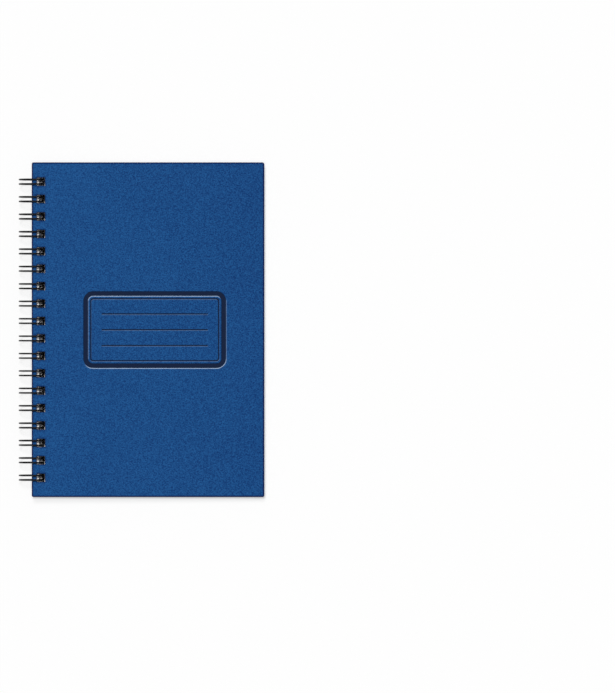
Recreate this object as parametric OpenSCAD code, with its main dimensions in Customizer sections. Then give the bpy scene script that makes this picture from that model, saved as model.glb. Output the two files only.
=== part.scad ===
// Hardcover notebook bound with a double-loop wire, lying closed on its back cover.
// The origin is the centre of the footprint, at the level of the lowest loops.
// +X runs from the spine to the fore edge, +Y to the head and +Z out of the front cover.

/* [Covers] */
// Width of a cover, spine edge to fore edge
cover_w = 169.5; // [120:0.5:220]
// Height of a cover, tail to head
cover_h = 244; // [150:0.5:300]
// Thickness of the greyboard inside a cover
board_t = 1.8; // [1.2:0.1:2.6]
// Thickness of the textured covering material
wrap_t = 0.3; // [0.2:0.05:0.5]
// Radius of a cover's corners, seen from above
corner_r = 1.2; // [0.8:0.1:4]
// Width of the covering that is folded over onto the inner face
turn_in = 14; // [11:0.5:20]
// Width of the slit where two folded flaps meet at a corner
mitre_gap = 0.3; // [0.1:0.05:0.6]
// Thickness of the paper liner glued inside a cover
liner_t = 0.15; // [0.1:0.05:0.3]
// How far the liner stays inside a cover's edges
liner_inset = 2.5; // [2:0.1:3.5]

/* [Pages] */
// Thickness of the pages as one block
block_t = 7; // [5:0.1:8.5]
// How far the covers stand proud of the pages at head, tail and fore edge
cover_lip = 1.3; // [0.5:0.1:3]
// How far the pages' spine edge lies behind the covers' spine edge
page_setback = 0.3; // [0.1:0.1:1]
// Length over which the last sheets bend up to clear the wire's seam
bend_run = 12; // [6:0.5:25]

/* [Punching] */
// Distance from one hole to the next, two to the inch
pitch = 12.7; // [11:0.1:16]
// Least distance from a hole's centre to the head or tail
end_margin = 14; // [10:0.5:20]
// Width of a hole, across the spine
hole_w = 6.15; // [5.5:0.05:6.5]
// Height of a hole, along the spine
hole_h = 6.1; // [5.6:0.05:7.2]
// Radius of a hole's corners
hole_r = 0.6; // [0.2:0.1:1.5]
// How far the covers' holes stand from the middle of the wire, towards the spine edge
cover_hole_shift = 0.15; // [0:0.05:0.4]
// How far the pages' holes stand from the middle of the wire, towards the fore edge
page_hole_shift = 0.25; // [0:0.05:0.4]

/* [Wire] */
// Diameter of the coated wire
wire_d = 1.2; // [0.9:0.05:1.4]
// Outside diameter of a closed loop
ring_od = 18.8; // [17.5:0.1:21]
// Distance between the two wires of a loop, centre to centre
pair_gap = 3.3; // [3:0.1:3.6]
// Radius of the bends where one loop runs into the next
bend_r = 1.5; // [1.3:0.1:1.8]
// Distance from the loops' axis to the covers' spine edge
spine_gap = 0.4; // [0.2:0.1:1]
// Clear height above and below the wire where it crosses between the holes
seam_clear = 0.25; // [0.15:0.05:0.4]
// How far a loop's tip stops short of the seam line
tip_setback = 0.2; // [0.1:0.05:0.5]

/* [Name panel] */
// Width of the pressed frame on the front cover
panel_w = 104; // [60:1:110]
// Height of the pressed frame
panel_h = 56; // [40:1:90]
// Width of the frame's band
band_w = 3.4; // [2:0.1:6]
// Outer corner radius of the frame
panel_r = 7; // [6.5:0.5:12]
// How deep the frame is pressed in
band_depth = 0.3; // [0.15:0.05:0.5]
// Number of writing lines inside the frame
panel_lines = 3; // [1:1:4]
// Distance between the writing lines
line_pitch = 11.5; // [8:0.5:12]
// Width of a writing line
line_w = 0.8; // [0.5:0.1:1.2]
// How deep a writing line is pressed in
line_depth = 0.15; // [0.05:0.05:0.15]
// How far the writing lines stay inside the band
line_inset = 10; // [4:0.5:15]
// Distance between the band and the thin line that follows it inside
inner_gap = 1.6; // [1:0.1:2.4]

/* [Hidden] */
$fn = 48;

// Cuts run past the faces that they open by this much.
over = 1;

// Layers of a cover, counted from its outer face.
board_top = wrap_t + board_t;
flap_top = board_top + wrap_t;
cover_t = flap_top + liner_t;
stack_t = block_t + 2 * cover_t;

// The loops' axis, and the covers' place beside it.
ring_r = (ring_od - wire_d) / 2;
total_w = ring_od / 2 + spine_gap + cover_w;
ring_x = ring_od / 2 - total_w / 2;
ring_z = ring_od / 2;
cover_x = ring_x + spine_gap;
back_z = ring_z - stack_t / 2;
front_z = ring_z + stack_t / 2;

// The pages.
page_x = cover_x + page_setback;
page_w = cover_w - page_setback - cover_lip;
page_h = cover_h - 2 * cover_lip;
block_z = back_z + cover_t;

// The holes follow the loop's curve through covers and pages.
function loop_x(z) = sqrt(ring_r * ring_r - z * z);
loops = floor((cover_h - 2 * end_margin) / pitch) + 1;
first_y = -(loops - 1) * pitch / 2;
cover_hole_x = ring_x + (loop_x(block_t / 2) + loop_x(stack_t / 2)) / 2 - cover_hole_shift;
page_hole_x = ring_x + (ring_r + loop_x(block_t / 2)) / 2 + page_hole_shift;

// The seam, where tips and bases of the loops meet between the pages and the back cover.
seam_lift = wire_d + 2 * seam_clear;
seam_drop = block_t / 2 - seam_lift / 2;
seam_angle = -asin(seam_drop / norm([ring_r, bend_r]));
arc_start = seam_angle + atan(bend_r / ring_r);
tip_r = pair_gap / 2;
arc_end = 360 + seam_angle - atan(tip_setback / ring_r) - atan(tip_r / ring_r);
base_run = pitch - pair_gap - 2 * bend_r;

// How much thinner the wire is in a sharp bend, and how far the bend's ends run into the full wire.
bend_thinning = 0.02;
bend_overlap = 0.12;

// The frame sits midway between the holes and the fore edge.
hole_far = cover_hole_x + hole_w / 2 - cover_x;
panel_x = (hole_far + cover_w) / 2;

// The thin line inside the band is a band itself, drawn in by this much.
inner_in = band_w + inner_gap;
inner_r = max(panel_r - inner_in, line_w);

module rounded(w, h, r) {
    square([w - 2 * r, h], center = true);
    square([w, h - 2 * r], center = true);
    for (sx = [-1, 1], sy = [-1, 1])
        translate([sx * (w / 2 - r), sy * (h / 2 - r)])
            circle(r);
}

// A plate the shape of a cover, drawn in by inset, between two heights.
module cover_plate(inset, z0, z1, r) {
    translate([cover_w / 2, 0, z0])
        linear_extrude(z1 - z0)
            rounded(cover_w - 2 * inset, cover_h - 2 * inset, r);
}

module punched_row(centre_x, z0, z1) {
    for (i = [0 : loops - 1])
        translate([centre_x, first_y + i * pitch, z0])
            linear_extrude(z1 - z0)
                rounded(hole_w, hole_h, hole_r);
}

module cover_holes() {
    punched_row(cover_hole_x - cover_x, -over, cover_t + over);
}

// The frame's band, grown on both sides by grow.
module band(grow) {
    difference() {
        rounded(panel_w + 2 * grow, panel_h + 2 * grow, panel_r + grow);
        rounded(panel_w - 2 * band_w - 2 * grow, panel_h - 2 * band_w - 2 * grow,
                panel_r - band_w - grow);
    }
}

// The thin line that follows the band inside.
module inner_line() {
    translate([panel_x, 0, -over])
        linear_extrude(over + line_depth)
            difference() {
                rounded(panel_w - 2 * inner_in, panel_h - 2 * inner_in, inner_r);
                rounded(panel_w - 2 * (inner_in + line_w), panel_h - 2 * (inner_in + line_w),
                        inner_r - line_w / 2);
            }
}

module pressed_band(grow, z0, z1) {
    translate([panel_x, 0, z0])
        linear_extrude(z1 - z0)
            band(grow);
}

module writing_lines() {
    line_len = panel_w - 2 * (band_w + line_inset);
    for (i = [0 : panel_lines - 1])
        translate([panel_x - line_len / 2, (i - (panel_lines - 1) / 2) * line_pitch - line_w / 2, -over])
            cube([line_len, line_w, over + line_depth]);
}

// Slits at 45 degrees where the folded flaps meet, through the flaps only.
module mitre_slits() {
    reach = turn_in * sqrt(2) + over;
    for (sx = [-1, 1], sy = [-1, 1])
        translate([cover_w / 2 + sx * (cover_w / 2 - corner_r), sy * (cover_h / 2 - corner_r), board_top])
            rotate([0, 0, atan2(-sy, -sx)])
                translate([0, -mitre_gap / 2, 0])
                    cube([reach, mitre_gap, wrap_t + over]);
}

// The covering: outer face, edges and folded flaps, as one folded piece.
// A cover's own frame has its spine edge at x 0, its outer face at z 0 and its inner face up.
module wrap(pressed) {
    difference() {
        union() {
            difference() {
                cover_plate(0, 0, flap_top, corner_r);
                cover_plate(wrap_t, wrap_t, board_top, corner_r - wrap_t);
                cover_plate(turn_in, board_top - wrap_t, flap_top + over, corner_r);
                mitre_slits();
            }
            if (pressed) pressed_band(wrap_t, wrap_t, band_depth + wrap_t);
        }
        if (pressed) pressed_band(0, -over, band_depth);
        if (pressed) inner_line();
        if (pressed) writing_lines();
        cover_holes();
    }
}

module board(pressed) {
    difference() {
        cover_plate(wrap_t, wrap_t, board_top, corner_r - wrap_t);
        if (pressed) pressed_band(wrap_t, 0, band_depth + wrap_t);
        cover_holes();
    }
}

// The liner steps down from the flaps onto the bare board.
module liner() {
    difference() {
        union() {
            cover_plate(liner_inset, flap_top, cover_t, corner_r);
            cover_plate(turn_in, board_top, cover_t, corner_r);
        }
        cover_plate(turn_in + liner_t, board_top + liner_t, cover_t + over, corner_r - liner_t);
        cover_holes();
    }
}

module as_back() {
    translate([cover_x, 0, back_z]) children();
}

module as_front() {
    translate([cover_x, 0, front_z]) mirror([0, 0, 1]) children();
}

module back_wrap() {
    color("#1d4c83") as_back() wrap(false);
}

module back_board() {
    color("#9a9388") as_back() board(false);
}

module back_liner() {
    color("#e6e4de") as_back() liner();
}

module front_wrap() {
    color("#1d4c83") as_front() wrap(true);
}

module front_board() {
    color("#9a9388") as_front() board(true);
}

module front_liner() {
    color("#e6e4de") as_front() liner();
}

// All the sheets as one block; near the spine the last ones bend up over the seam.
module page_block() {
    lift_x = page_hole_x + hole_w / 2 + over;
    color("#e9e9e7") difference() {
        rotate([90, 0, 0])
            linear_extrude(page_h, center = true)
                polygon([
                    [page_x, block_z + seam_lift],
                    [lift_x, block_z + seam_lift],
                    [lift_x + bend_run, block_z],
                    [page_x + page_w, block_z],
                    [page_x + page_w, block_z + block_t],
                    [page_x, block_z + block_t]
                ]);
        punched_row(page_hole_x, block_z - over, block_z + block_t + over);
    }
}

// A length of wire bent round a circle in the XY plane, from the X axis on.
module bent(radius, degrees) {
    rotate_extrude(angle = degrees)
        translate([radius, 0])
            circle(d = wire_d);
}

// A sharp bend draws the wire a hair thinner, and its ends run on into the full wire.
module sharp_bend(radius, degrees) {
    run_on = atan(bend_overlap / radius);
    rotate_extrude(start = -run_on, angle = degrees + 2 * run_on)
        translate([radius, 0])
            circle(d = wire_d - bend_thinning);
}

// Turns children to an angle round the loops' axis: x outwards, y along the loop, z to the tail.
module at_loop(angle) {
    rotate([90, -angle, 0]) translate([ring_r, 0, 0]) children();
}

// One loop: two wires round the axis, joined at the tip.
module loop() {
    for (s = [-1, 1])
        translate([0, s * tip_r, 0])
            rotate([90, -arc_start, 0])
                bent(ring_r, arc_end - arc_start);
    at_loop(arc_end) rotate([0, 90, 0]) sharp_bend(tip_r, 180);
}

// The bend that leads a loop's wire into the base, on its tail side.
module base_bend() {
    at_loop(arc_start)
        translate([0, 0, tip_r + bend_r])
            rotate([0, 90, 0])
                rotate([0, 0, -90])
                    sharp_bend(bend_r, 90);
}

// The straight wire of the base, from a bend's end towards the tail.
module base_wire(length) {
    at_loop(arc_start)
        translate([0, -bend_r, tip_r + bend_r])
            cylinder(d = wire_d, h = length);
}

// One wire bent into all the loops; each base runs on into the next loop.
module wire_binding() {
    color("#17181a") translate([ring_x, 0, ring_z]) {
        for (i = [0 : loops - 1])
            translate([0, first_y + i * pitch, 0]) {
                loop();
                base_bend();
                mirror([0, 1, 0]) base_bend();
                base_wire(i == 0 ? base_run / 2 : base_run);
            }
        translate([0, first_y + (loops - 1) * pitch, 0])
            mirror([0, 1, 0])
                base_wire(base_run / 2);
    }
}

back_wrap();
back_board();
back_liner();
page_block();
wire_binding();
front_liner();
front_board();
front_wrap();
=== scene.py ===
# A closed hardcover notebook bound with a double-loop wire, seen from straight above.
# Lengths are in millimetres until a mesh is made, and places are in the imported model's frame.
import math
import random

import bmesh
import bpy
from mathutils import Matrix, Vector, noise
from mathutils.geometry import delaunay_2d_cdt


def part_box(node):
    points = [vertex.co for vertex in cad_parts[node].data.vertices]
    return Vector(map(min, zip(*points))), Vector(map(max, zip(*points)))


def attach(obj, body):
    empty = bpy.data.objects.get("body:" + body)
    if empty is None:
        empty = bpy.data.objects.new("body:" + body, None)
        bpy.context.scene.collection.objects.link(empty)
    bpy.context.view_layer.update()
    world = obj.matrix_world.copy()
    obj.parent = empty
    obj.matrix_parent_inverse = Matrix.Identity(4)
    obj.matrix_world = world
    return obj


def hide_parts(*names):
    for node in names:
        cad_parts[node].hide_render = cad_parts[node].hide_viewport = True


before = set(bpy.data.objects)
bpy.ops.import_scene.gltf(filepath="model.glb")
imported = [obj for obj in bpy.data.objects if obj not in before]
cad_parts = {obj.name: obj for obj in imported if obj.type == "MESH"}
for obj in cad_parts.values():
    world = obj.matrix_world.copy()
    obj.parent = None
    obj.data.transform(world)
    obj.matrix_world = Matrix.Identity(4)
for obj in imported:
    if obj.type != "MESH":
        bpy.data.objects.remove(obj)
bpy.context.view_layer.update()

MM = 0.001
SEED = 7

# Covers, counted from a cover's outer face inwards.
WRAP_T = 0.3
BOARD_T = 1.8
LINER_T = 0.15
BOARD_TOP = WRAP_T + BOARD_T
FLAP_TOP = BOARD_TOP + WRAP_T
CORNER_R = 1.2
TURN_IN = 14.0
LINER_INSET = 2.5

# Pages.
BEND_RUN = 12.0
SHEETS = 70

# Punching.
PITCH = 12.7
LOOPS = 18
HOLE_W = 6.15
HOLE_H = 6.1
HOLE_R = 0.6
COVER_HOLE_SHIFT = 0.15
PAGE_HOLE_SHIFT = 0.25

# Wire.
WIRE_D = 1.2
RING_OD = 18.8
PAIR_GAP = 3.3
BEND_R = 1.5
SPINE_GAP = 0.4
SEAM_CLEAR = 0.25
TIP_SETBACK = 0.2

# The frame pressed into the front cover, with a thin line and writing lines inside it.
PANEL_W = 104.0
PANEL_H = 56.0
BAND_W = 3.4
PANEL_R = 7.0
BAND_DEPTH = 0.3
PANEL_LINES = 3
LINE_PITCH = 11.5
LINE_W = 0.8
LINE_DEPTH = 0.15
LINE_INSET = 10.0
INNER_GAP = 1.6


def in_mm(node):
    """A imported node's lowest and highest corners in millimetres."""
    low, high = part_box(node)
    return low / MM, high / MM


back_low, back_high = in_mm("back_wrap")
page_low, page_high = in_mm("page_block")
COVER_W = back_high.x - back_low.x
COVER_H = back_high.y - back_low.y
COVER_X = back_low.x
BACK_Z = back_low.z
FRONT_Z = in_mm("front_wrap")[1].z
BLOCK_T = page_high.z - page_low.z
STACK_T = FRONT_Z - BACK_Z
RING_X = COVER_X - SPINE_GAP
RING_Z = (BACK_Z + FRONT_Z) / 2
RING_R = (RING_OD - WIRE_D) / 2
SEAM_LIFT = WIRE_D + 2 * SEAM_CLEAR


def loop_x(z):
    """How far the wire stands from the loops' axis at a height above or below it."""
    return math.sqrt(RING_R ** 2 - z ** 2)


COVER_HOLE_X = (loop_x(BLOCK_T / 2) + loop_x(STACK_T / 2)) / 2 - SPINE_GAP - COVER_HOLE_SHIFT
PAGE_HOLE_X = RING_X + (RING_R + loop_x(BLOCK_T / 2)) / 2 + PAGE_HOLE_SHIFT
FIRST_Y = -(LOOPS - 1) * PITCH / 2
HOLE_YS = [FIRST_Y + i * PITCH for i in range(LOOPS)]
PANEL_X = (COVER_HOLE_X + HOLE_W / 2 + COVER_W) / 2


# Plain tools for outlines.

# The least corner radius, and how far a scattered point leaves its grid place, in grid steps.
LEAST_R = 0.02
SHAKE = 0.3


def rounded_rect(cx, cy, w, h, r, x_steps, y_steps, arc_steps):
    """A rounded rectangle, anticlockwise; the counts of points don't depend on its size."""
    r = max(min(r, w / 2, h / 2), LEAST_R)
    corners = [(1, -1), (1, 1), (-1, 1), (-1, -1)]
    points = []
    for k, (side_x, side_y) in enumerate(corners):
        arc_x = cx + side_x * (w / 2 - r)
        arc_y = cy + side_y * (h / 2 - r)
        for i in range(arc_steps + 1):
            a = math.radians(90 * (k - 1) + 90 * i / arc_steps)
            points.append((arc_x + r * math.cos(a), arc_y + r * math.sin(a)))
        from_x, from_y = points[-1]
        side_x, side_y = corners[(k + 1) % 4]
        a = math.radians(90 * k)
        to_x = cx + side_x * (w / 2 - r) + r * math.cos(a)
        to_y = cy + side_y * (h / 2 - r) + r * math.sin(a)
        steps = y_steps if k % 2 == 0 else x_steps
        for i in range(1, steps):
            x = from_x + (to_x - from_x) * i / steps
            y = from_y + (to_y - from_y) * i / steps
            points.append((x, y))
    return points


def inside_by(x, y, cx, cy, w, h, r):
    """Signed distance to a rounded rectangle, positive inside it."""
    dx = abs(x - cx) - (w / 2 - r)
    dy = abs(y - cy) - (h / 2 - r)
    return r - math.hypot(max(dx, 0), max(dy, 0)) - min(max(dx, dy), 0)


def within(x, y, ring):
    """Is the point inside the ring?"""
    odd = False
    px, py = ring[-1]
    for qx, qy in ring:
        if (qy > y) != (py > y) and x < (px - qx) * (y - qy) / (py - qy) + qx:
            odd = not odd
        px, py = qx, qy
    return odd


def span(ring):
    """A flat ring's lowest and highest x, then its lowest and highest y."""
    xs = [x for x, y in ring]
    ys = [y for x, y in ring]
    return min(xs), max(xs), min(ys), max(ys)


def flat(ring):
    """A ring without its heights."""
    return [(x, y) for x, y, z in ring]


def ramp(value, low, high):
    """A smooth step from 0 at low to 1 at high."""
    t = min(max((value - low) / (high - low), 0), 1)
    return t * t * (3 - 2 * t)


def hole_distance(x, y, hole_x):
    """Distance to the wall of the nearest punched hole, negative inside the hole."""
    k = min(max(round((y - FIRST_Y) / PITCH), 0), LOOPS - 1)
    return -inside_by(x, y, hole_x, HOLE_YS[k], HOLE_W, HOLE_H, HOLE_R)


def jittered(low, high, step, keep, seed):
    """Points scattered on a shaken grid, those that keep allows."""
    draw = random.Random(seed)
    columns = int((high[0] - low[0]) / step)
    rows = int((high[1] - low[1]) / step)
    points = []
    for i in range(columns + 1):
        for j in range(rows + 1):
            x = low[0] + i * step + draw.uniform(-SHAKE, SHAKE) * step
            y = low[1] + j * step + draw.uniform(-SHAKE, SHAKE) * step
            if keep(x, y):
                points.append((x, y))
    return points


# Meshes.

# The triangulation gives its whole hull, and fill picks what lies inside.
WHOLE_HULL = 0

# Points nearer than this are one: in millimetres when triangulated, in metres in the made mesh.
SAME_POINT = 1e-5
WELD = 1e-6

# Edges are drawn sharp where their two faces meet at more than these degrees.
SHARP_ANGLE = 40


class Shell:
    """A mesh in the making: loose patches that share their border points."""

    def __init__(self):
        self.verts = []
        self.faces = []
        self.slots = []

    def patch(self, points, faces, slot=0):
        """Adds faces, which count from the first of these points, in a material slot."""
        base = len(self.verts)
        self.verts += points
        self.faces += [[base + i for i in face] for face in faces]
        self.slots += [slot] * len(faces)

    def loft(self, rings, slot=0):
        """Quads from each ring to the next; all have the same count of points."""
        n = len(rings[0])
        faces = []
        for near in range(0, n * (len(rings) - 1), n):
            far = near + n
            for i in range(n):
                j = (i + 1) % n
                faces.append([near + i, near + j, far + j, far + i])
        self.patch([point for ring in rings for point in ring], faces, slot)

    def fill(self, border, holes, creases, loose, height):
        """Triangles inside the border and outside the holes, at a height for each point."""
        coords, edges = [], []
        for ring in [border, *holes, *creases]:
            base, n = len(coords), len(ring)
            coords += ring
            edges += [(base + i, base + (i + 1) % n) for i in range(n)]
        coords += loose
        made = delaunay_2d_cdt([Vector(c) for c in coords], edges, [], WHOLE_HULL, SAME_POINT)
        points, triangles = made[0], made[2]
        boxes = [span(hole) for hole in holes]
        faces = []
        for face in triangles:
            x = sum(points[i].x for i in face) / 3
            y = sum(points[i].y for i in face) / 3
            if not within(x, y, border):
                continue
            near = [h for h, b in zip(holes, boxes) if b[0] < x < b[1] and b[2] < y < b[3]]
            if not any(within(x, y, hole) for hole in near):
                faces.append(list(face))
        self.patch([(p.x, p.y, height(p.x, p.y)) for p in points], faces)

    def piece(self, name, place, masks=None, sharp=SHARP_ANGLE):
        """Joins the patches into one object; place maps a point into the frame."""
        mesh = bpy.data.meshes.new(name)
        mesh.from_pydata([Vector(place(v)) * MM for v in self.verts], [], self.faces)
        mesh.polygons.foreach_set("material_index", self.slots)
        for mask, value in (masks or {}).items():
            layer = mesh.attributes.new(mask, "FLOAT", "POINT")
            layer.data.foreach_set("value", [value(v) for v in self.verts])
        bm = bmesh.new()
        bm.from_mesh(mesh)
        bmesh.ops.remove_doubles(bm, verts=bm.verts, dist=WELD)
        loose = [v for v in bm.verts if not v.link_faces]
        bmesh.ops.delete(bm, geom=loose, context="VERTS")
        bmesh.ops.recalc_face_normals(bm, faces=bm.faces)
        bm.to_mesh(mesh)
        bm.free()
        mesh.shade_smooth()
        mesh.set_sharp_from_angle(angle=math.radians(sharp))
        obj = bpy.data.objects.new(name, mesh)
        bpy.context.scene.collection.objects.link(obj)
        return obj


def as_is(v):
    """The place of a point that is already in the frame."""
    return v


# Materials. Scales of noise are features to the metre, and distances of bumps are metres.

# Most of a noise's values lie between these two.
NOISE_RANGE = (0.3, 0.7)


class Nodes:
    """A material's node tree, with short calls to add and join nodes."""

    def __init__(self, name):
        self.material = bpy.data.materials.new(name)
        self.material.use_nodes = True
        self.tree = self.material.node_tree
        self.shader = self.tree.nodes["Principled BSDF"]
        self.coords = self.add("ShaderNodeTexCoord").outputs["Object"]

    def add(self, kind, **settings):
        """A new node with its settings."""
        node = self.tree.nodes.new(kind)
        for key, value in settings.items():
            setattr(node, key, value)
        return node

    def link(self, source, target):
        """Joins an output to an input."""
        self.tree.links.new(source, target)

    def put(self, value, socket):
        """Sets an input to a number or a colour, or joins an output to it."""
        if isinstance(value, (int, float)):
            socket.default_value = value
        elif isinstance(value, tuple):
            socket.default_value = (*value, 1.0)
        else:
            self.link(value, socket)

    def axis(self, name):
        """The shaded point's X, Y or Z."""
        split = self.add("ShaderNodeSeparateXYZ")
        self.link(self.coords, split.inputs[0])
        return split.outputs[name]

    def mask(self, name):
        """A value that the mesh carries for each point."""
        return self.add("ShaderNodeAttribute", attribute_name=name).outputs["Fac"]

    def noise(self, scale, detail, roughness, squeeze=None):
        """Noise, with its features squeezed together along some axes if asked."""
        node = self.add("ShaderNodeTexNoise")
        for name, value in [("Scale", scale), ("Detail", detail), ("Roughness", roughness)]:
            node.inputs[name].default_value = value
        source = self.coords
        if squeeze:
            mapping = self.add("ShaderNodeMapping")
            mapping.inputs["Scale"].default_value = squeeze
            self.link(self.coords, mapping.inputs["Vector"])
            source = mapping.outputs["Vector"]
        self.link(source, node.inputs["Vector"])
        return node.outputs["Fac"]

    def spread(self, source, low, high, to_low=0.0, to_high=1.0):
        """Maps a value's range onto another."""
        node = self.add("ShaderNodeMapRange")
        for name, value in [
            ("From Min", low),
            ("From Max", high),
            ("To Min", to_low),
            ("To Max", to_high),
        ]:
            node.inputs[name].default_value = value
        self.link(source, node.inputs["Value"])
        return node.outputs["Result"]

    def full(self, source, to_low=0.0, to_high=1.0):
        """Maps a noise's usual range onto another."""
        return self.spread(source, *NOISE_RANGE, to_low, to_high)

    def maths(self, operation, first, second=0.0):
        """One calculation with one or two values."""
        node = self.add("ShaderNodeMath", operation=operation)
        self.put(first, node.inputs[0])
        self.put(second, node.inputs[1])
        return node.outputs[0]

    def mix(self, factor, first, second):
        """The first colour at factor 0 and the second at 1."""
        node = self.add("ShaderNodeMix", data_type="RGBA")
        self.put(factor, node.inputs[0])
        self.put(first, node.inputs[6])
        self.put(second, node.inputs[7])
        return node.outputs[2]

    def bump(self, height, distance, strength, under=None):
        """A bumped normal, over another one if given."""
        node = self.add("ShaderNodeBump")
        node.inputs["Distance"].default_value = distance
        node.inputs["Strength"].default_value = strength
        self.link(height, node.inputs["Height"])
        if under is not None:
            self.link(under, node.inputs["Normal"])
        return node.outputs["Normal"]

    def finish(self, color, roughness, normal=None, **constants):
        """Joins what varies to the shader and sets what doesn't on its own sockets."""
        self.put(color, self.shader.inputs["Base Color"])
        self.put(roughness, self.shader.inputs["Roughness"])
        if normal is not None:
            self.link(normal, self.shader.inputs["Normal"])
        for key, value in constants.items():
            self.shader.inputs[key.replace("_", " ")].default_value = value
        return self.material


# The covering runs from deep to light with its grain. It has navy painted shade at the folds of its
# edges and at the holes, is darker where it is pressed, and has a pale painted highlight on the lip of
# a pressed wall that faces the light.
COVER_DEEP = (0.0006, 0.0300, 0.140)
COVER_LIGHT = (0.0140, 0.1040, 0.308)
PAINTED_RIM_SHADE = (0.0003, 0.0070, 0.068)
PRESSED_NAVY = (0.0004, 0.0080, 0.036)
PAINTED_HIGHLIGHT_BLUE = (0.50, 0.66, 0.88)

# How far each layer of the grain moves the tone, and the painted light by the spine and painted shade
# at the fore edge.
FLECK_TONE = 0.42
CLOUD_TONE = 0.04
THREAD_TONE = 0.20
PEBBLE_TONE = 0.10
SPINE_PAINTED_LIGHT = 0.08
FORE_PAINTED_SHADE = -0.07

# Pressing takes this share off the grain's height, and this much off the roughness.
PRESSED_FLAT = 0.75
PRESSED_SHINE = 0.15


def leatherette():
    """Blue textured covering: pebble and thread grain, darker where pressed, navy painted shade at
    folds and holes, painted highlights on pressed lips, painted light by the spine.
    """
    n = Nodes("leatherette")
    cells = n.add("ShaderNodeTexVoronoi", feature="SMOOTH_F1")
    cells.inputs["Scale"].default_value = 1300.0
    n.link(n.coords, cells.inputs["Vector"])
    pebble = n.spread(cells.outputs["Distance"], 0.1, 0.7)
    thread = n.noise(scale=1000.0, detail=2.0, roughness=0.6, squeeze=(1.0, 2.0, 1.0))
    fleck = n.noise(scale=1250.0, detail=1.0, roughness=0.5)
    cloud = n.noise(scale=22.0, detail=3.0, roughness=0.5)
    pressed = n.mask("pressed")

    spine, fore = COVER_X * MM, (COVER_X + COVER_W) * MM
    tone = n.full(fleck, -FLECK_TONE, FLECK_TONE)
    for layer in [
        n.full(cloud, -CLOUD_TONE, CLOUD_TONE),
        n.full(thread, -THREAD_TONE, THREAD_TONE),
        n.spread(pebble, 0.0, 1.0, PEBBLE_TONE, -PEBBLE_TONE),
        # Painted light and shade: lighter by the spine, darker towards the fore edge.
        n.spread(n.axis("X"), spine, fore, SPINE_PAINTED_LIGHT, FORE_PAINTED_SHADE),
    ]:
        tone = n.maths("ADD", tone, layer)
    color = n.mix(n.spread(tone, -0.5, 0.5), COVER_DEEP, COVER_LIGHT)
    # Navy painted shade on the rounded edges and sides and at the lips of the holes.
    flecked_painted_shade = n.spread(fleck, 0.35, 0.65, to_low=0.9)
    color = n.mix(n.maths("MULTIPLY", n.mask("painted_rim_shade"), flecked_painted_shade), color, PAINTED_RIM_SHADE)
    color = n.mix(pressed, color, PRESSED_NAVY)
    # A pale painted highlight on the lips of pressed walls that face the light.
    threaded_highlight = n.spread(thread, 0.35, 0.6, to_low=0.7)
    color = n.mix(n.maths("MULTIPLY", n.mask("painted_highlight"), threaded_highlight), color, PAINTED_HIGHLIGHT_BLUE)

    grain = n.maths("ADD", n.spread(pebble, 0.0, 1.0, 1.0, 0.0), n.full(thread, to_high=0.8))
    left = n.maths("SUBTRACT", 1.0, n.maths("MULTIPLY", pressed, PRESSED_FLAT))
    normal = n.bump(n.maths("MULTIPLY", grain, left), distance=0.00006, strength=0.9)
    normal = n.bump(n.maths("MULTIPLY", fleck, left), distance=0.00012, strength=0.7, under=normal)
    rough = n.spread(pebble, 0.0, 1.0, 0.62, 0.5)
    rough = n.maths("SUBTRACT", rough, n.maths("MULTIPLY", pressed, PRESSED_SHINE))
    return n.finish(color, rough, normal, Specular_IOR_Level=0.05)


BOARD_DARK = (0.25, 0.225, 0.19)
BOARD_LIGHT = (0.38, 0.345, 0.295)
BOARD_FIBRE = (0.16, 0.14, 0.12)


def greyboard():
    """Raw edge of the board, with fibres laid flat in its layers."""
    n = Nodes("greyboard")
    layers = n.noise(scale=700.0, detail=3.0, roughness=0.6, squeeze=(1.0, 1.0, 6.0))
    fibre = n.noise(scale=2600.0, detail=2.0, roughness=0.7)
    color = n.mix(n.full(layers), BOARD_DARK, BOARD_LIGHT)
    color = n.mix(n.spread(fibre, 0.55, 0.75, to_high=0.35), color, BOARD_FIBRE)
    normal = n.bump(n.maths("ADD", layers, fibre), distance=0.0001, strength=0.8)
    return n.finish(color, 0.95, normal, Specular_IOR_Level=0.15)


PAGE_WHITE = (0.83, 0.83, 0.825)
PAGE_SHADE = (0.805, 0.805, 0.80)
LINER_WHITE = (0.80, 0.80, 0.79)
LINER_SHADE = (0.775, 0.775, 0.765)
PAPER_FIBRE = (0.55, 0.54, 0.52)
PAPER_ROUGH = 0.85
PAPER_SPECULAR = 0.2


def paper(name, white, shade):
    """Uncoated paper's nodes, colour and normal: a softly clouded tone and a fine fibre grain."""
    n = Nodes(name)
    cloud = n.noise(scale=70.0, detail=3.0, roughness=0.6)
    fibre = n.noise(scale=3200.0, detail=3.0, roughness=0.7)
    color = n.mix(n.full(cloud), shade, white)
    color = n.mix(n.spread(fibre, 0.6, 0.8, to_high=0.12), color, PAPER_FIBRE)
    return n, color, n.bump(fibre, distance=0.00002, strength=0.5)


def liner_paper():
    """The paper pasted inside the covers."""
    n, color, normal = paper("liner_paper", LINER_WHITE, LINER_SHADE)
    return n.finish(color, PAPER_ROUGH, normal, Specular_IOR_Level=PAPER_SPECULAR)


# Ruling on the outermost pages, from the page's own edges. A line's edges are soft over a share of
# its width, and a margin keeps the first and the last line whole.
RULED_LINES = 29
RULED_PITCH = 7.54
RULED_W = 0.45
RULED_TOP = 20.6
RULED_LEFT = 15.3
RULED_RIGHT = 5.6
RULED_SOFT = 0.2
RULED_MARGIN = 0.5
INK = (0.46, 0.46, 0.465)


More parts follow.
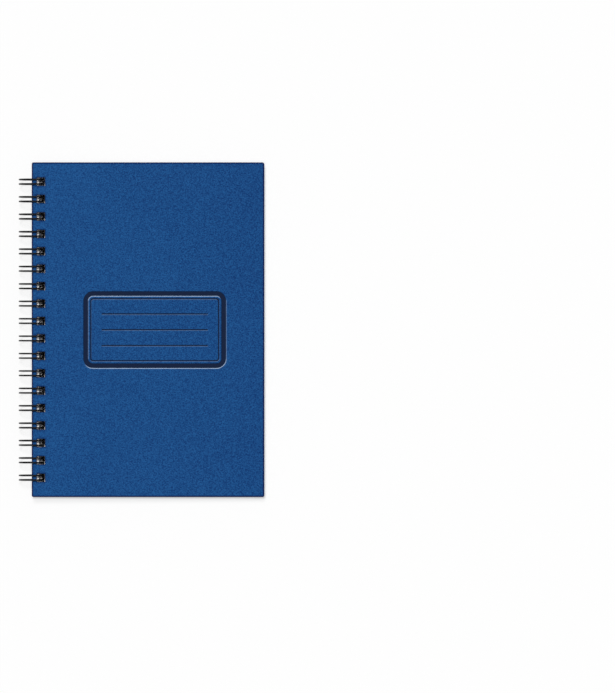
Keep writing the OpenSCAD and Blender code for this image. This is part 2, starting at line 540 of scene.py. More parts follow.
def ruled_paper():
    """The outermost pages: paper with grey ruled lines."""
    n, color, normal = paper("ruled_paper", PAGE_WHITE, PAGE_SHADE)
    across = n.axis("X")
    top = (page_high.y - RULED_TOP) * MM
    left = (page_low.x + RULED_LEFT) * MM
    right = (page_high.x - RULED_RIGHT) * MM
    down = n.maths("DIVIDE", n.maths("SUBTRACT", top, n.axis("Y")), RULED_PITCH * MM)
    part = n.maths("FRACT", n.maths("ADD", down, 0.5))
    off_line = n.maths("ABSOLUTE", n.maths("SUBTRACT", part, 0.5))
    half = RULED_W / RULED_PITCH / 2
    line = n.spread(off_line, half * (1 - RULED_SOFT), half * (1 + RULED_SOFT), 1.0, 0.0)
    margin = RULED_MARGIN / RULED_PITCH
    for value, low, high in [(down, -margin, RULED_LINES - 1 + margin), (across, left, right)]:
        line = n.maths("MULTIPLY", line, n.maths("GREATER_THAN", value, low))
        line = n.maths("MULTIPLY", line, n.maths("LESS_THAN", value, high))
    fibre = n.noise(scale=2500.0, detail=2.0, roughness=0.7)
    line = n.maths("MULTIPLY", line, n.spread(fibre, 0.3, 0.6, to_low=0.75))
    color = n.mix(line, color, INK)
    return n.finish(color, PAPER_ROUGH, normal, Specular_IOR_Level=PAPER_SPECULAR)


EDGE_GREY = (0.60, 0.60, 0.59)
EDGE_WHITE = (0.88, 0.88, 0.87)
EDGE_SHADE = (0.55, 0.545, 0.53)


def sheet_edges():
    """The cut edges of the sheets: fine layers of light and shade."""
    n = Nodes("sheet_edges")
    layers = n.noise(scale=220.0, detail=2.0, roughness=0.6, squeeze=(1.0, 1.0, 30.0))
    stacks = n.noise(scale=25.0, detail=3.0, roughness=0.6, squeeze=(1.0, 1.0, 60.0))
    color = n.mix(n.full(layers), EDGE_GREY, EDGE_WHITE)
    color = n.mix(n.spread(stacks, 0.35, 0.65, to_high=0.55), color, EDGE_SHADE)
    normal = n.bump(layers, distance=0.00006, strength=0.6)
    return n.finish(color, 0.9, normal, Specular_IOR_Level=0.15)


COATING_DARK = (0.0012, 0.0012, 0.0014)
COATING_LIGHT = (0.0035, 0.0035, 0.004)
COATING_RUB = (0.03, 0.03, 0.032)


def coated_wire():
    """Black coating on steel: slightly uneven, with small pale rubs."""
    n = Nodes("coated_wire")
    flow = n.noise(scale=420.0, detail=3.0, roughness=0.6)
    speck = n.noise(scale=2200.0, detail=2.0, roughness=0.6)
    color = n.mix(n.spread(flow, 0.35, 0.7), COATING_DARK, COATING_LIGHT)
    color = n.mix(n.spread(speck, 0.70, 0.78, to_high=0.3), color, COATING_RUB)
    normal = n.bump(flow, distance=0.00006, strength=0.5)
    return n.finish(color, n.full(flow, 0.30, 0.42), normal, Specular_IOR_Level=0.15)


STEEL_DARK = (0.33, 0.33, 0.34)
STEEL_LIGHT = (0.55, 0.55, 0.56)


def cut_steel():
    """Bare steel on the wire's two cut ends."""
    n = Nodes("cut_steel")
    grain = n.noise(scale=5000.0, detail=2.0, roughness=0.6)
    color = n.mix(n.full(grain), STEEL_DARK, STEEL_LIGHT)
    return n.finish(color, 0.35, n.bump(grain, distance=0.00003, strength=0.6), Metallic=1.0)


# Covers. A cover's own points have x from its spine edge and z from its outer face inwards.

HALF_W, HALF_H = COVER_W / 2, COVER_H / 2

# Steps of the outlines along x, along y and round a corner, of an edge's arc and of a hole's roll.
COVER_COUNTS = (60, 86, 7)
HOLE_COUNTS = (3, 3, 4)
BAND_COUNTS = (70, 36, 10)
INNER_COUNTS = (70, 36, 6)
WRITING_COUNTS = (60, 1, 2)
HIDDEN_COUNTS = (12, 8, 8)
ARC_STEPS = 6
ROLL_STEPS = 3

# Radii of the covering's rounded edge, of its fold onto the board and of the rolls at the holes.
EDGE_R = 0.7
FOLD_R = 0.45
ROLL_R = 0.15


def cover_ring(inset, z):
    """The cover's outline drawn in by inset, at a height."""
    w, h = COVER_W - 2 * inset, COVER_H - 2 * inset
    outline = rounded_rect(HALF_W, 0, w, h, CORNER_R - inset, *COVER_COUNTS)
    return [(x, y, z) for x, y in outline]


def hole_ring(hole_y, grow, z):
    """The outline of a cover's hole, grown all round, at a height."""
    w, h = HOLE_W + 2 * grow, HOLE_H + 2 * grow
    outline = rounded_rect(COVER_HOLE_X, hole_y, w, h, HOLE_R + grow, *HOLE_COUNTS)
    return [(x, y, z) for x, y in outline]


def holes_at(grow):
    """The flat outlines of all the cover's holes, grown all round."""
    return [flat(hole_ring(y, grow, 0)) for y in HOLE_YS]


def edge_inset(x, y):
    """How far a point lies inside the cover's outline."""
    return inside_by(x, y, HALF_W, 0, COVER_W, COVER_H, CORNER_R)


def hole_room(x, y):
    """How far a point lies from the wall of the cover's nearest hole."""
    return hole_distance(x, y, COVER_HOLE_X)


def over_cover(step, keep, seed):
    """Loose points scattered over the cover, those that keep allows."""
    return jittered((0, -HALF_H), (COVER_W, HALF_H), step, keep, seed)


# The pressed panel: its thin inner line, the writing lines, and the slant of the walls.
INNER_IN = BAND_W + INNER_GAP
INNER_R = max(PANEL_R - INNER_IN, LINE_W)
WRITING_LEN = PANEL_W - 2 * (BAND_W + LINE_INSET)
WRITING_R = 0.1
WRITING_YS = [(i - (PANEL_LINES - 1) / 2) * LINE_PITCH for i in range(PANEL_LINES)]
BAND_WALL = 0.3
LINE_WALL = 0.15
PANEL_REACH = 1.0

# A pale painted highlight lies on a wall's lip where the lip faces this way, towards the light, over a
# width beside the wall.
# The share grows from nothing to full between two slopes, and the thin lines take less of it.
HIGHLIGHT_TO_X = -0.36
HIGHLIGHT_TO_Y = 0.93
HIGHLIGHT_W = 0.5
HIGHLIGHT_SLOPES = (0.1, 0.8)
BAND_HIGHLIGHT = 1.0
LINE_HIGHLIGHT = 0.22
LEAST_HIGHLIGHT = 0.001
SLOPE_STEP = 0.02


def frame_distance(x, y, inset, width, r_out, r_in):
    """Distance inside a line of some width that runs round the panel, negative outside it."""
    w, h = PANEL_W - 2 * inset, PANEL_H - 2 * inset
    outer = inside_by(x, y, PANEL_X, 0, w, h, r_out)
    inner = inside_by(x, y, PANEL_X, 0, w - 2 * width, h - 2 * width, r_in)
    return min(outer, -inner)


def band_distance(x, y):
    """Distance inside the pressed frame's band, negative outside it."""
    return frame_distance(x, y, 0, BAND_W, PANEL_R, PANEL_R - BAND_W)


def line_distance(x, y):
    """Distance inside the nearest thin line, negative outside it."""
    writing = max(inside_by(x, y, PANEL_X, ly, WRITING_LEN, LINE_W, WRITING_R) for ly in WRITING_YS)
    return max(writing, frame_distance(x, y, INNER_IN, LINE_W, INNER_R, INNER_R - LINE_W / 2))


def near_panel(x, y):
    """Is the point on the panel or close beside it?"""
    return abs(x - PANEL_X) < PANEL_W / 2 + PANEL_REACH and abs(y) < PANEL_H / 2 + PANEL_REACH


def pressed_share(x, y):
    """How far the point has gone down the walls of the band and of the thin lines."""
    band = ramp(band_distance(x, y), -BAND_WALL / 2, BAND_WALL / 2)
    line = ramp(line_distance(x, y), -LINE_WALL / 2, LINE_WALL / 2)
    return band, line


def pressed_depth(x, y):
    """How deep the outer face is pressed in."""
    if not near_panel(x, y):
        return 0.0
    band, line = pressed_share(x, y)
    return max(BAND_DEPTH * band, LINE_DEPTH * line)


def painted_highlight_share(x, y):
    """How much painted highlight lies on the lip of a wall here, where it faces the head or the spine
    edge.
    """
    share = 0.0
    for distance, wall, most in [
        (band_distance, BAND_WALL, BAND_HIGHLIGHT),
        (line_distance, LINE_WALL, LINE_HIGHLIGHT),
    ]:
        past_lip = distance(x, y) + wall / 2
        lip = 1 - past_lip / wall if past_lip > 0 else 1 + past_lip / HIGHLIGHT_W
        if lip <= LEAST_HIGHLIGHT:
            continue
        step = SLOPE_STEP
        slope_x = (distance(x + step, y) - distance(x - step, y)) / (2 * step)
        slope_y = (distance(x, y + step) - distance(x, y - step)) / (2 * step)
        facing = ramp(HIGHLIGHT_TO_Y * slope_y + HIGHLIGHT_TO_X * slope_x, *HIGHLIGHT_SLOPES)
        share = max(share, most * lip * facing)
    return share


def band_outlines(inset, width, r_out, r_in, grows, counts):
    """Both outlines of a line that runs round the panel, at distances beside it."""
    rings = []
    for grow in grows:
        for far, r, g in [(inset, r_out, grow), (inset + width, r_in, -grow)]:
            w, h = PANEL_W - 2 * (far - g), PANEL_H - 2 * (far - g)
            rings.append(rounded_rect(PANEL_X, 0, w, h, r + g, *counts))
    return rings


def crease_rings():
    """Outlines that the outer face's mesh follows round the pressed shapes."""
    grows = [BAND_WALL / 2 + HIGHLIGHT_W, BAND_WALL / 2, 0, -BAND_WALL / 2]
    rings = band_outlines(0, BAND_W, PANEL_R, PANEL_R - BAND_W, grows, BAND_COUNTS)
    grows = [LINE_WALL / 2 + HIGHLIGHT_W, LINE_WALL / 2, -LINE_WALL / 2]
    rings += band_outlines(INNER_IN, LINE_W, INNER_R, INNER_R - LINE_W / 2, grows, INNER_COUNTS)
    for ly in WRITING_YS:
        for grow in grows:
            w, h = WRITING_LEN + 2 * grow, LINE_W + 2 * grow
            rings.append(rounded_rect(PANEL_X, ly, w, h, WRITING_R + grow, *WRITING_COUNTS))
    return rings


# The outer face's unevenness: the size and depth of its fine and broad waves, a mean sink that
# keeps most of them below the face, and how far from edges and holes they are in full.
FINE_RUN = 1.9
FINE_RISE = 0.012
BROAD_RUN = 21
BROAD_RISE = 0.02
BROAD_SEED = 5
MEAN_SINK = 0.012
SETTLE = 1.0

# Loose points of the outer face: their spacing, and how far they keep off what the mesh follows.
FACE_STEP = 1.35
EDGE_ROOM = 0.9
HOLE_ROOM = 0.5
BAND_ROOM = 0.9
LINE_ROOM = 0.8

# The navy painted shade is full up to one distance from the outline and gone at another, and weaker up
# the side. At the holes it is weaker too, and gone at a distance of its own.
PAINTED_SHADE_FULL = 0.95
PAINTED_SHADE_FADE = 1.3
SIDE_EASE = 0.45
SIDE_FROM = EDGE_R / 2
SIDE_TO = 1.5 * EDGE_R
HOLE_PAINTED_SHADE = 0.8
HOLE_PAINTED_SHADE_FADE = 0.4

# Points nearer the outer face than this take the panel's tints.
OUTER_SIDE = 1.0


def undulation(x, y, seed):
    """Faint unevenness of the covering where it is glued down."""
    fine = noise.noise(Vector((x / FINE_RUN, y / FINE_RUN, seed)))
    broad = noise.noise(Vector((x / BROAD_RUN, y / BROAD_RUN, seed + BROAD_SEED)))
    return FINE_RISE * fine + BROAD_RISE * broad


def off_walls(x, y):
    """Is the point well away from the walls of the band and of the thin lines?"""
    return abs(band_distance(x, y)) >= BAND_ROOM and abs(line_distance(x, y)) >= LINE_ROOM


def outer_face(shell, pressed, seed):
    """The face that shows, with the panel pressed into it or plain."""

    def height(x, y):
        settle = ramp(edge_inset(x, y), EDGE_R, EDGE_R + SETTLE)
        settle *= ramp(hole_room(x, y), ROLL_R, SETTLE)
        depth = pressed_depth(x, y) if pressed else 0.0
        return depth + max(0.0, undulation(x, y, seed) * settle + MEAN_SINK * settle)

    def roomy(x, y):
        clear = edge_inset(x, y) > EDGE_R + EDGE_ROOM and hole_room(x, y) > ROLL_R + HOLE_ROOM
        return clear and (not pressed or off_walls(x, y))

    creases = [flat(cover_ring(PAINTED_SHADE_FADE, 0))]
    if pressed:
        creases += crease_rings()
    loose = over_cover(FACE_STEP, roomy, SEED + seed)
    shell.fill(flat(cover_ring(EDGE_R, 0)), holes_at(ROLL_R), creases, loose, height)


def folded_edge(shell):
    """Round the edge, up the side and over the fold onto the board."""
    arc = [math.radians(90 * i / ARC_STEPS) for i in range(ARC_STEPS + 1)]
    rings = [cover_ring(EDGE_R * (1 - math.sin(a)), EDGE_R * (1 - math.cos(a))) for a in arc]
    for a in arc:
        rings.append(cover_ring(FOLD_R * (1 - math.cos(a)), FLAP_TOP - FOLD_R * (1 - math.sin(a))))
    shell.loft(rings)


# The slits where two flaps meet at a corner: their depth, their half width at the floor and at the
# top, how far in from the fold and from the flap's end they open, and the points that follow them.
SLIT_DEPTH = 0.26
SLIT_HALF = (0.05, 0.22)
SLIT_FROM_FOLD = 0.8
SLIT_FROM_END = 0.6
SLIT_SIDES = (-0.25, -0.06, 0.06, 0.25)
SLIT_START = 1.4
SLIT_STOP = 1.0
SLIT_STEPS = 24

# Loose points of the flaps: their spacing, and how far they keep off edges and slits.
FLAP_STEP = 1.8
FLAP_ROOM = 0.8
SLIT_ROOM = 0.6
FLAP_SEED = 20


def slit_distance(x, y):
    """How far a point lies from the mitre of the nearest corner."""
    return abs(min(x, COVER_W - x) - (HALF_H - abs(y))) / math.sqrt(2)


def slit_points():
    """Points along both sides of the four mitres."""
    points = []
    run = TURN_IN - SLIT_START - SLIT_STOP
    for side_x in [-1, 1]:
        for side_y in [-1, 1]:
            for offset in SLIT_SIDES:
                for i in range(SLIT_STEPS + 1):
                    d = SLIT_START + run * i / SLIT_STEPS
                    x = HALF_W + side_x * (HALF_W - d - offset)
                    points.append((x, side_y * (HALF_H - d + offset)))
    return points


def flaps(shell, seed):
    """The flaps folded onto the board, with a slit at each corner, and their cut end."""

    def height(x, y):
        inset = edge_inset(x, y)
        from_fold = ramp(inset, FOLD_R, FOLD_R + SLIT_FROM_FOLD)
        from_end = ramp(inset, TURN_IN, TURN_IN - SLIT_FROM_END)
        in_slit = 1 - ramp(slit_distance(x, y), *SLIT_HALF)
        return FLAP_TOP - from_fold * from_end * SLIT_DEPTH * in_slit

    def roomy(x, y):
        on_flap = FOLD_R + FLAP_ROOM < edge_inset(x, y) < TURN_IN - FLAP_ROOM
        return on_flap and hole_room(x, y) > ROLL_R + HOLE_ROOM and slit_distance(x, y) > SLIT_ROOM

    loose = over_cover(FLAP_STEP, roomy, SEED + FLAP_SEED + seed) + slit_points()
    inner_end = flat(cover_ring(TURN_IN, 0))
    shell.fill(flat(cover_ring(FOLD_R, 0)), [*holes_at(ROLL_R), inner_end], [], loose, height)
    shell.loft([cover_ring(TURN_IN, FLAP_TOP), cover_ring(TURN_IN, BOARD_TOP)])


# Under the pressed band the glued side is pushed inwards too, with a wall of this width.
HIDDEN_STEP = 0.1


def hidden_side(shell, pressed):
    """The covering's glued side: under the flaps, and round the board to its outer face."""

    def height(x, y):
        beside_band = -band_distance(x, y)
        pushed = pressed and near_panel(x, y) and beside_band < WRAP_T + HIDDEN_STEP / 2
        return WRAP_T + (BAND_DEPTH if pushed else 0.0)

    border = flat(cover_ring(WRAP_T, 0))
    under_flaps = [*holes_at(0), flat(cover_ring(TURN_IN, 0))]
    shell.fill(border, under_flaps, [], [], lambda x, y: BOARD_TOP)
    shell.loft([cover_ring(WRAP_T, BOARD_TOP), cover_ring(WRAP_T, WRAP_T)])
    creases = []
    if pressed:
        grows = [WRAP_T, WRAP_T + HIDDEN_STEP]
        creases = band_outlines(0, BAND_W, PANEL_R, PANEL_R - BAND_W, grows, HIDDEN_COUNTS)
    shell.fill(border, holes_at(0), creases, [], height)


def hole_walls(shell):
    """The walls of the punched holes, with a small roll at each face."""
    for y in HOLE_YS:
        for face_z, wall_z, end_z in [(0.0, ROLL_R, WRAP_T), (FLAP_TOP, FLAP_TOP - ROLL_R, BOARD_TOP)]:
            walls = []
            for i in range(ROLL_STEPS + 1):
                a = math.radians(90 * i / ROLL_STEPS)
                z = face_z + (wall_z - face_z) * (1 - math.cos(a))
                walls.append(hole_ring(y, ROLL_R * (1 - math.sin(a)), z))
            walls.append(hole_ring(y, 0, end_z))
            shell.loft(walls)


def cover_masks(pressed):
    """Where the covering has navy painted shade, is pressed, and has a painted highlight, from 0 to 1
    for each point.
    """

    # Navy painted shade round the rounded edge, weaker up the side, and at the holes.
    def painted_rim_shade(v):
        x, y, z = v
        side = 1 - SIDE_EASE * ramp(z, SIDE_FROM, SIDE_TO)
        outline = (1 - ramp(edge_inset(x, y), PAINTED_SHADE_FULL, PAINTED_SHADE_FADE)) * side
        return max(outline, HOLE_PAINTED_SHADE * (1 - ramp(hole_room(x, y), 0.0, HOLE_PAINTED_SHADE_FADE)))

    def on_panel(share):
        def value(v):
            x, y, z = v
            return share(x, y) if pressed and z < OUTER_SIDE and near_panel(x, y) else 0.0
        return value

    def deepest(x, y):
        return max(pressed_share(x, y))

    return {"painted_rim_shade": painted_rim_shade, "pressed": on_panel(deepest), "painted_highlight": on_panel(painted_highlight_share)}


def cover_wrap(name, pressed, place, seed):
    """The covering as one folded sheet: outer face, rounded edges, flaps with mitred corners."""
    shell = Shell()
    outer_face(shell, pressed, seed)
    folded_edge(shell)
    flaps(shell, seed)
    hidden_side(shell, pressed)
    hole_walls(shell)
    return shell.piece(name, place, cover_masks(pressed))


def as_back(v):
    """A cover's own point placed in the back cover, whose outer face looks down."""
    return (COVER_X + v[0], v[1], BACK_Z + v[2])


def as_front(v):
    """A cover's own point placed in the front cover, whose outer face looks up."""
    return (COVER_X + v[0], v[1], FRONT_Z - v[2])


# The pasted paper is drawn a little thinner than it is, so that it stays off what it is glued to.
# It comes down off the flaps between the first and the last of the creases, and ripples there.
LINER_MESH_T = LINER_T * 0.9
LINER_CREASES = (-0.1, 0.2, 0.5, 0.8, 1.1)
RIPPLE_AT = 0.5
RIPPLE_W = 2.2
RIPPLE_RUN = 5
RIPPLE_RISE = 0.03

# Loose points of the pasted paper.
LINER_STEP = 2.4
LINER_ROOM = 0.6
STEP_ROOM = (-0.6, 1.6)
LINER_SEED = 40


def liner(name, place, seed):
    """Pasted paper, with the soft step where it comes off the flaps onto the board."""
    shell = Shell()
    top = FLAP_TOP + LINER_T

    def upper(x, y):
        inset = edge_inset(x, y)
        step = ramp(inset, TURN_IN + LINER_CREASES[0], TURN_IN + LINER_CREASES[-1])
        near = math.exp(-((inset - TURN_IN - RIPPLE_AT) / RIPPLE_W) ** 2)
        ripple = RIPPLE_RISE * near * noise.noise(Vector((x / RIPPLE_RUN, y / RIPPLE_RUN, seed)))
        return top - WRAP_T * step + min(0.0, ripple) * step

    def lower(x, y):
        return upper(x, y) - LINER_MESH_T

    def roomy(x, y):
        inset = edge_inset(x, y)
        if inset <= LINER_INSET + LINER_ROOM or hole_room(x, y) <= LINER_ROOM:
            return False
        return not TURN_IN + STEP_ROOM[0] < inset < TURN_IN + STEP_ROOM[1]

    creases = [flat(cover_ring(TURN_IN + d, 0)) for d in LINER_CREASES]
    border = flat(cover_ring(LINER_INSET, 0))
    loose = over_cover(LINER_STEP, roomy, SEED + LINER_SEED + seed)
    shell.fill(border, holes_at(0), creases, loose, upper)
    shell.fill(border, holes_at(0), creases, [], lower)
    bottom = top - LINER_MESH_T
    shell.loft([cover_ring(LINER_INSET, top), cover_ring(LINER_INSET, bottom)])
    for y in HOLE_YS:
        shell.loft([hole_ring(y, 0, top), hole_ring(y, 0, bottom)])
    return shell.piece(name, place)


# Pages.

PAGE_W = page_high.x - page_low.x
PAGE_H = page_high.y - page_low.y
PAGE_CX = (page_low.x + page_high.x) / 2
PAGE_R = 0.3
LIFT_ROOM = 1.0
LIFT_X = PAGE_HOLE_X + HOLE_W / 2 + LIFT_ROOM
PAGE_COUNTS = (40, 56, 2)
PAGE_HOLE_COUNTS = (3, 3, 3)

# How far each sheet is drawn in and shifted, how the pile leans in waves, which part of its share
# of the height a sheet's edge takes, and how far in the gap beside it and the outermost rims lie.
SHEET_INSET = 0.06
SHEET_EXTRA = 0.03
SHEET_SHIFT = 0.05
DRIFT = 0.03
DRIFT_SHEETS = 5.0
SHEET_PART = (0.14, 0.86)
GAP_INSET = 0.17
RIM_INSET = 0.12
PAGE_SEED = 60

# The walls of the holes are drawn as fewer, thicker layers, each of them a little wider at random.
HOLE_LAYERS = 20
HOLE_GROW = 0.07

# Loose points of the outermost pages, and those that follow the two bends of the underside.
PAGE_STEP = 4.0
PAGE_ROOM = 1.2
PAGE_HOLE_ROOM = 0.8
BEND_POINTS = 60
BEND_MARGIN = 1.0
BEND_ROOM = 1.5
PAGE_FACE_SEED = 70
PAGE_SHARP_ANGLE = 50


def sheet_height(x, share):
    """Height in the pile at a share of its thickness; the underside lifts over the wire's seam."""
    low = page_low.z + SEAM_LIFT * min(max((LIFT_X + BEND_RUN - x) / BEND_RUN, 0), 1)
    return low + (page_high.z - low) * share


def page_ring(inset, share, dx=0.0, dy=0.0):
    """The pages' outline drawn in by inset and shifted, at a share of the pile."""
    w, h = PAGE_W - 2 * inset, PAGE_H - 2 * inset
    outline = rounded_rect(PAGE_CX + dx, dy, w, h, PAGE_R, *PAGE_COUNTS)
    return [(x, y, sheet_height(x, share)) for x, y in outline]


def page_hole(hole_y, grow, share):
    """The outline of a hole through the pages, grown all round, at a share of the pile."""
    w, h = HOLE_W + 2 * grow, HOLE_H + 2 * grow
    outline = rounded_rect(PAGE_HOLE_X, hole_y, w, h, HOLE_R, *PAGE_HOLE_COUNTS)
    return [(x, y, sheet_height(x, share)) for x, y in outline]


def cut_edges(shell, draw):
    """The outer edges of all the sheets."""
    rings = [page_ring(RIM_INSET, 0)]
    for k in range(SHEETS):
        dx, dy = draw.uniform(-SHEET_SHIFT, SHEET_SHIFT), draw.uniform(-SHEET_SHIFT, SHEET_SHIFT)
        drift = DRIFT * math.sin(k / DRIFT_SHEETS)
        inset = SHEET_INSET + draw.uniform(0, SHEET_EXTRA)
        for part in SHEET_PART:
            rings.append(page_ring(inset, (k + part) / SHEETS, dx + drift, dy))
        gap = RIM_INSET if k == SHEETS - 1 else GAP_INSET
        rings.append(page_ring(gap, (k + 1) / SHEETS))
    shell.loft(rings, 1)


def page_hole_walls(shell, draw):
    """The walls of the holes through the pages."""
    for y in HOLE_YS:
        walls = []
        for k in range(HOLE_LAYERS + 1):
            grow = 0.0 if k in (0, HOLE_LAYERS) else draw.uniform(0.0, HOLE_GROW)
            walls.append(page_hole(y, grow, k / HOLE_LAYERS))
        shell.loft(walls, 1)


def outermost_pages(shell):
    """The last page's underside, bent near the spine, and the first page's top."""

    def roomy(x, y):
        inset = inside_by(x, y, PAGE_CX, 0, PAGE_W, PAGE_H, PAGE_R)
        return inset > PAGE_ROOM and hole_distance(x, y, PAGE_HOLE_X) > PAGE_HOLE_ROOM

    bends = (LIFT_X, LIFT_X + BEND_RUN)
    ys = [page_low.y + BEND_MARGIN + PAGE_H / BEND_POINTS * i for i in range(BEND_POINTS)]
    on_bends = [(x, y) for x in bends for y in ys if y < page_high.y - BEND_MARGIN]
    border = flat(page_ring(RIM_INSET, 0))
    holes = [flat(page_hole(y, 0, 0)) for y in HOLE_YS]
    for share in [0, 1]:
        seed = SEED + PAGE_FACE_SEED + share
        low, high = (page_low.x, page_low.y), (page_high.x, page_high.y)
        loose = jittered(low, high, PAGE_STEP, roomy, seed)
        if share == 0:
            loose = [p for p in loose if min(abs(p[0] - x) for x in bends) > BEND_ROOM] + on_bends
        shell.fill(border, holes, [], loose, lambda x, y: sheet_height(x, share))


def page_pile():
    """All the sheets: each one's cut edge stands a little proud or shy of its neighbours."""
    shell = Shell()
    draw = random.Random(SEED + PAGE_SEED)
    cut_edges(shell, draw)
    page_hole_walls(shell, draw)
    outermost_pages(shell)
    return shell.piece("page_pile", as_is, sharp=PAGE_SHARP_ANGLE)


# Wire.

SEAM_DROP = BLOCK_T / 2 - SEAM_LIFT / 2
SEAM_ANGLE = -math.asin(SEAM_DROP / math.hypot(RING_R, BEND_R))
ARC_START = SEAM_ANGLE + math.atan(BEND_R / RING_R)
TIP_R = PAIR_GAP / 2
ARC_END = 2 * math.pi + SEAM_ANGLE - math.atan(TIP_SETBACK / RING_R) - math.atan(TIP_R / RING_R)
BASE_HALF = (PITCH - PAIR_GAP) / 2 - BEND_R

# Steps of the centreline, sides of the wire, and the share of its width that is bare at a cut end.
BASE_STEPS = 2
BEND_STEPS = 6
TIP_STEPS = 12
LOOP_STEPS = 64
WIRE_SIDES = 12
BARE_SHARE = 0.9
WIRE_SHARP_ANGLE = 60


def on_loop(angle, along, y):
    """A point of the loop's circle at an angle, moved along its tangent there, at a y."""
    x = RING_X + RING_R * math.cos(angle) - along * math.sin(angle)
    return Vector((x, y, RING_Z + RING_R * math.sin(angle) + along * math.cos(angle)))


def half_loop(y0, side):
    """The centreline from the middle of a base, round a bend and along the loop to its tip."""
    points = []
    for k in range(BASE_STEPS, -1, -1):
        y = y0 + side * (TIP_R + BEND_R + BASE_HALF * k / BASE_STEPS)
        points.append(on_loop(ARC_START, -BEND_R, y))
    for i in range(1, BEND_STEPS + 1):
        a = math.radians(90 * i / BEND_STEPS)
        y = y0 + side * (TIP_R + BEND_R * (1 - math.sin(a)))
        points.append(on_loop(ARC_START, -BEND_R * math.cos(a), y))
    for i in range(1, LOOP_STEPS + 1):
        a = ARC_START + (ARC_END - ARC_START) * i / LOOP_STEPS
        points.append(on_loop(a, 0, y0 + side * TIP_R))
    return points


def loop_path(y0):
    """One loop's centreline, from the middle of one base to the middle of the next."""
    tip = []
    for i in range(1, TIP_STEPS):
        a = math.pi * i / TIP_STEPS
        tip.append(on_loop(ARC_END, TIP_R * math.sin(a), y0 - TIP_R * math.cos(a)))
    return [*half_loop(y0, -1), *tip, *reversed(half_loop(y0, 1))]


def coated_loops():
    """One wire bent into all the loops, swept along its centreline."""
    path = []
    for y in HOLE_YS:
        turn = loop_path(y)
        path += turn[1:] if path else turn
    tangents = []
    for i in range(len(path)):
        before, after = path[max(i - 1, 0)], path[min(i + 1, len(path) - 1)]
        tangents.append((after - before).normalized())

    side = tangents[0].orthogonal().normalized()
    rings = []
    for point, tangent in zip(path, tangents):
        side = (side - tangent * side.dot(tangent)).normalized()
        up = tangent.cross(side)
        ring = []
        for k in range(WIRE_SIDES):
            a = 2 * math.pi * k / WIRE_SIDES
            ring.append(tuple(point + (side * math.cos(a) + up * math.sin(a)) * (WIRE_D / 2)))
        rings.append(ring)

    shell = Shell()
    shell.loft(rings)
    fan = [[0, 1 + k, 1 + (k + 1) % WIRE_SIDES] for k in range(WIRE_SIDES)]
    for ring in (rings[0], rings[-1]):
        centre = sum((Vector(p) for p in ring), Vector()) / WIRE_SIDES
        inner = [tuple(centre + (Vector(p) - centre) * BARE_SHARE) for p in ring]
        shell.loft([ring, inner])
        shell.patch([tuple(centre), *inner], fan, 1)
    return shell.piece("coated_loops", as_is, sharp=WIRE_SHARP_ANGLE)


# Make the pieces and their materials. The boards keep their shapes and only get a material.

front_skin = cover_wrap("front_skin", True, as_front, 1)
back_skin = cover_wrap("back_skin", False, as_back, 2)
front_sheet = liner("front_inner_sheet", as_front, 3)
back_sheet = liner("back_inner_sheet", as_back, 4)
pages = page_pile()
wire = coated_loops()
boards = [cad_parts[node] for node in ("front_board", "back_board")]
for board in boards:
    board.data.materials.clear()

for pieces, materials in [
    ([front_skin, back_skin], [leatherette()]),
    (boards, [greyboard()]),
    ([front_sheet, back_sheet], [liner_paper()]),
    ([pages], [ruled_paper(), sheet_edges()]),
    ([wire], [coated_wire(), cut_steel()]),
]:
    for piece in pieces:
        for material in materials:
            piece.data.materials.append(material)

for piece, body, node, slot in [
    (front_skin, "front_cover", "front_wrap", "cover_blue"),
    (front_sheet, "front_cover", "front_liner", "liner_paper"),
    (back_skin, "back_cover", "back_wrap", "cover_blue"),
    (back_sheet, "back_cover", "back_liner", "liner_paper"),
    (pages, "bound_pages", "page_block", "page_paper"),
    (wire, "bound_pages", "wire_binding", "wire_black"),
]:
    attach(piece, body)
    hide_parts(node)


# Floor, light and camera.

# The loops stand below the back cover, so the floor meets them and the cover's fore edge.
FORE_X = back_high.x
FORE_REACH = math.hypot(FORE_X - RING_X, BACK_Z - RING_Z)
FLOOR_SLOPE = math.asin(RING_OD / 2 / FORE_REACH) - math.atan2(RING_Z - BACK_Z, FORE_X - RING_X)

# To the eye the floor glows by a share, which starts a little inside the covers' outline and is
# full a little outside it. Its lit part keeps the shadow.
FLOOR_HALF = 6000.0
FLOOR_WHITE = (0.98, 0.98, 0.98)
FLOOR_GLOW = 0.82
GLOW_FROM = -1.0
GLOW_TO = 2.0


def seen_directly(tree):
    """1 for what the camera sees, mirrored or through glass too, and 0 for light on things."""
    rays = tree.nodes.new("ShaderNodeLightPath")
    seen = rays.outputs["Is Camera Ray"]
    for name in ("Is Glossy Ray", "Is Transmission Ray"):
        either = tree.nodes.new("ShaderNodeMath")
        either.operation = "MAXIMUM"
        tree.links.new(seen, either.inputs[0])
        tree.links.new(rays.outputs[name], either.inputs[1])
        seen = either.outputs[0]
    return seen


def floor_material():
    """Matt white that glows where it is seen directly and no cover stands over it."""
    n = Nodes("studio_floor")
    material = n.finish(FLOOR_WHITE, 1.0, Specular_IOR_Level=0.0)
    glow = n.add("ShaderNodeEmission")
    seen_beside = n.maths("MULTIPLY", seen_directly(n.tree), n.mask("beside"))
    both = n.add("ShaderNodeMixShader")
    n.link(n.maths("MULTIPLY", seen_beside, FLOOR_GLOW), both.inputs[0])
    n.link(n.shader.outputs[0], both.inputs[1])
    n.link(glow.outputs[0], both.inputs[2])
    n.link(both.outputs[0], n.tree.nodes["Material Output"].inputs["Surface"])
    return material


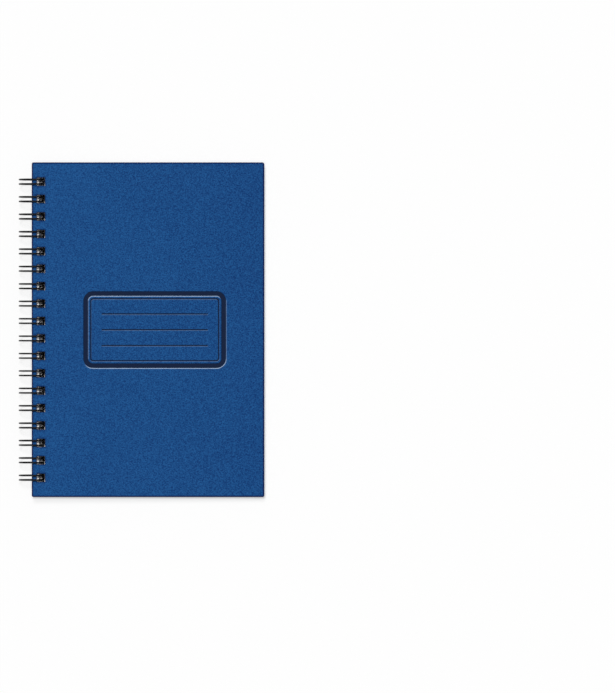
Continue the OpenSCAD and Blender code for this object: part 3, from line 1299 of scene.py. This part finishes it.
def make_floor():
    """A wide floor, tilted so that the notebook rests on it."""
    shell = Shell()
    middle = -COVER_W / 2

    def grown(grow):
        w, h = COVER_W + 2 * grow, COVER_H + 2 * grow
        return rounded_rect(middle, 0, w, h, CORNER_R, 1, 1, 2)

    def beside(v):
        inset = inside_by(v[0], v[1], middle, 0, COVER_W, COVER_H, CORNER_R)
        return ramp(-inset, GLOW_FROM, GLOW_TO)

    border = rounded_rect(0, 0, 2 * FLOOR_HALF, 2 * FLOOR_HALF, 1, 1, 1, 1)
    shell.fill(border, [], [grown(GLOW_FROM), grown(GLOW_TO)], [], lambda x, y: 0.0)
    floor = shell.piece("floor", as_is, {"beside": beside})
    floor.rotation_euler = (0, -FLOOR_SLOPE, 0)
    floor.location = Vector((FORE_X, 0, BACK_Z)) * MM
    floor.data.materials.append(floor_material())


# The world's strength on things, and the key light's strength, direction and width in degrees.
WORLD_LIGHT = 0.33
KEY_ENERGY = 2.12
KEY_FROM = (-0.05, 0.3, 1.0)
KEY_ANGLE = 12


def make_light():
    """A soft white world, full white to the eye, and one broad key light from above."""
    world = bpy.data.worlds.new("studio")
    world.use_nodes = True
    tree = world.node_tree
    background = tree.nodes["Background"]
    background.inputs["Color"].default_value = (1, 1, 1, 1)
    strength = tree.nodes.new("ShaderNodeMapRange")
    strength.inputs["To Min"].default_value = WORLD_LIGHT
    strength.inputs["To Max"].default_value = 1.0
    tree.links.new(seen_directly(tree), strength.inputs["Value"])
    tree.links.new(strength.outputs["Result"], background.inputs["Strength"])
    bpy.context.scene.world = world

    lamp = bpy.data.lights.new("key", "SUN")
    lamp.energy = KEY_ENERGY
    lamp.angle = math.radians(KEY_ANGLE)
    key = bpy.data.objects.new("key", lamp)
    key.rotation_euler = Vector(KEY_FROM).to_track_quat("Z", "Y").to_euler()
    bpy.context.scene.collection.objects.link(key)


# The photograph's size and the cover's centre in it, in pixels, and the real size of one pixel.
PHOTO_W = 615
PHOTO_H = 693
COVER_PX = (148.0, 329.7)
PIXEL = 0.729

# The camera's long lens, its sensor along the picture's height, and its clipping in metres.
LENS = 400.0
SENSOR = 36.0
CLIP_NEAR = 0.1
CLIP_FAR = 50.0


def make_camera():
    """A camera far above the front cover, looking straight down."""
    camera_data = bpy.data.cameras.new("camera")
    camera_data.lens = LENS
    camera_data.sensor_width = SENSOR
    camera_data.clip_start = CLIP_NEAR
    camera_data.clip_end = CLIP_FAR
    x = COVER_X + HALF_W + (PHOTO_W / 2 - COVER_PX[0]) * PIXEL
    y = (COVER_PX[1] - PHOTO_H / 2) * PIXEL
    height = PHOTO_H * PIXEL * LENS / SENSOR
    camera = bpy.data.objects.new("camera", camera_data)
    camera.location = Vector((x, y, FRONT_Z + height)) * MM
    bpy.context.scene.collection.objects.link(camera)
    bpy.context.scene.camera = camera


make_floor()
make_light()
make_camera()
bpy.context.scene.view_settings.view_transform = "Standard"
